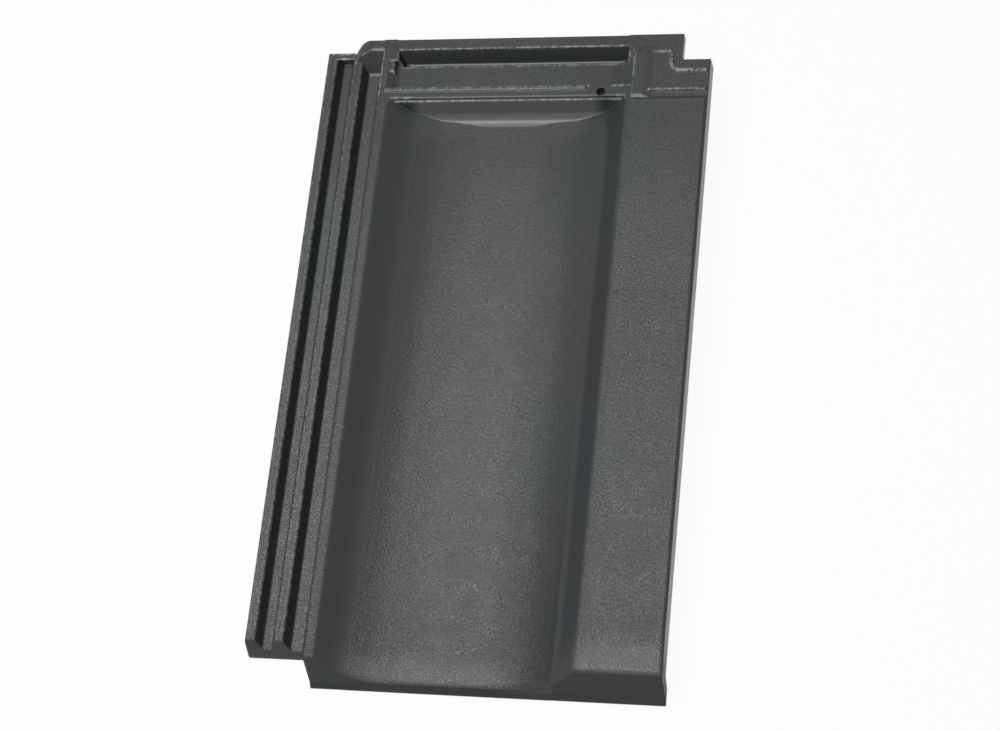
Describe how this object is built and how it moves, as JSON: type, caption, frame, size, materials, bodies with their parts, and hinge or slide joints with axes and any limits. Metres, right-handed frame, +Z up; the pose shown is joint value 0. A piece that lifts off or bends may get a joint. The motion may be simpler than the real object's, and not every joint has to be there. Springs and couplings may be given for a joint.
{
  "type": "clay roof tile",
  "caption": "Interlocking pressed clay roof tile with a wide channel, side lock, flat cover wing, head lock, nail hole and flared front skirt, in a semi-matte anthracite glaze.",
  "frame": {"origin": "middle of the tile's plan, on the level floor that it lies on", "axes": "+Y from the foot (eaves end) to the head (ridge end), +X from the side lock to the cover wing, +Z up"},
  "size_m": [0.28, 0.4666, 0.0416],
  "materials": {
    "glazed_clay": "semi-matte anthracite glaze over fired clay"
  },
  "bodies": {
    "root": {"roof_tile": "glazed_clay"}
  },
  "joints": []
}
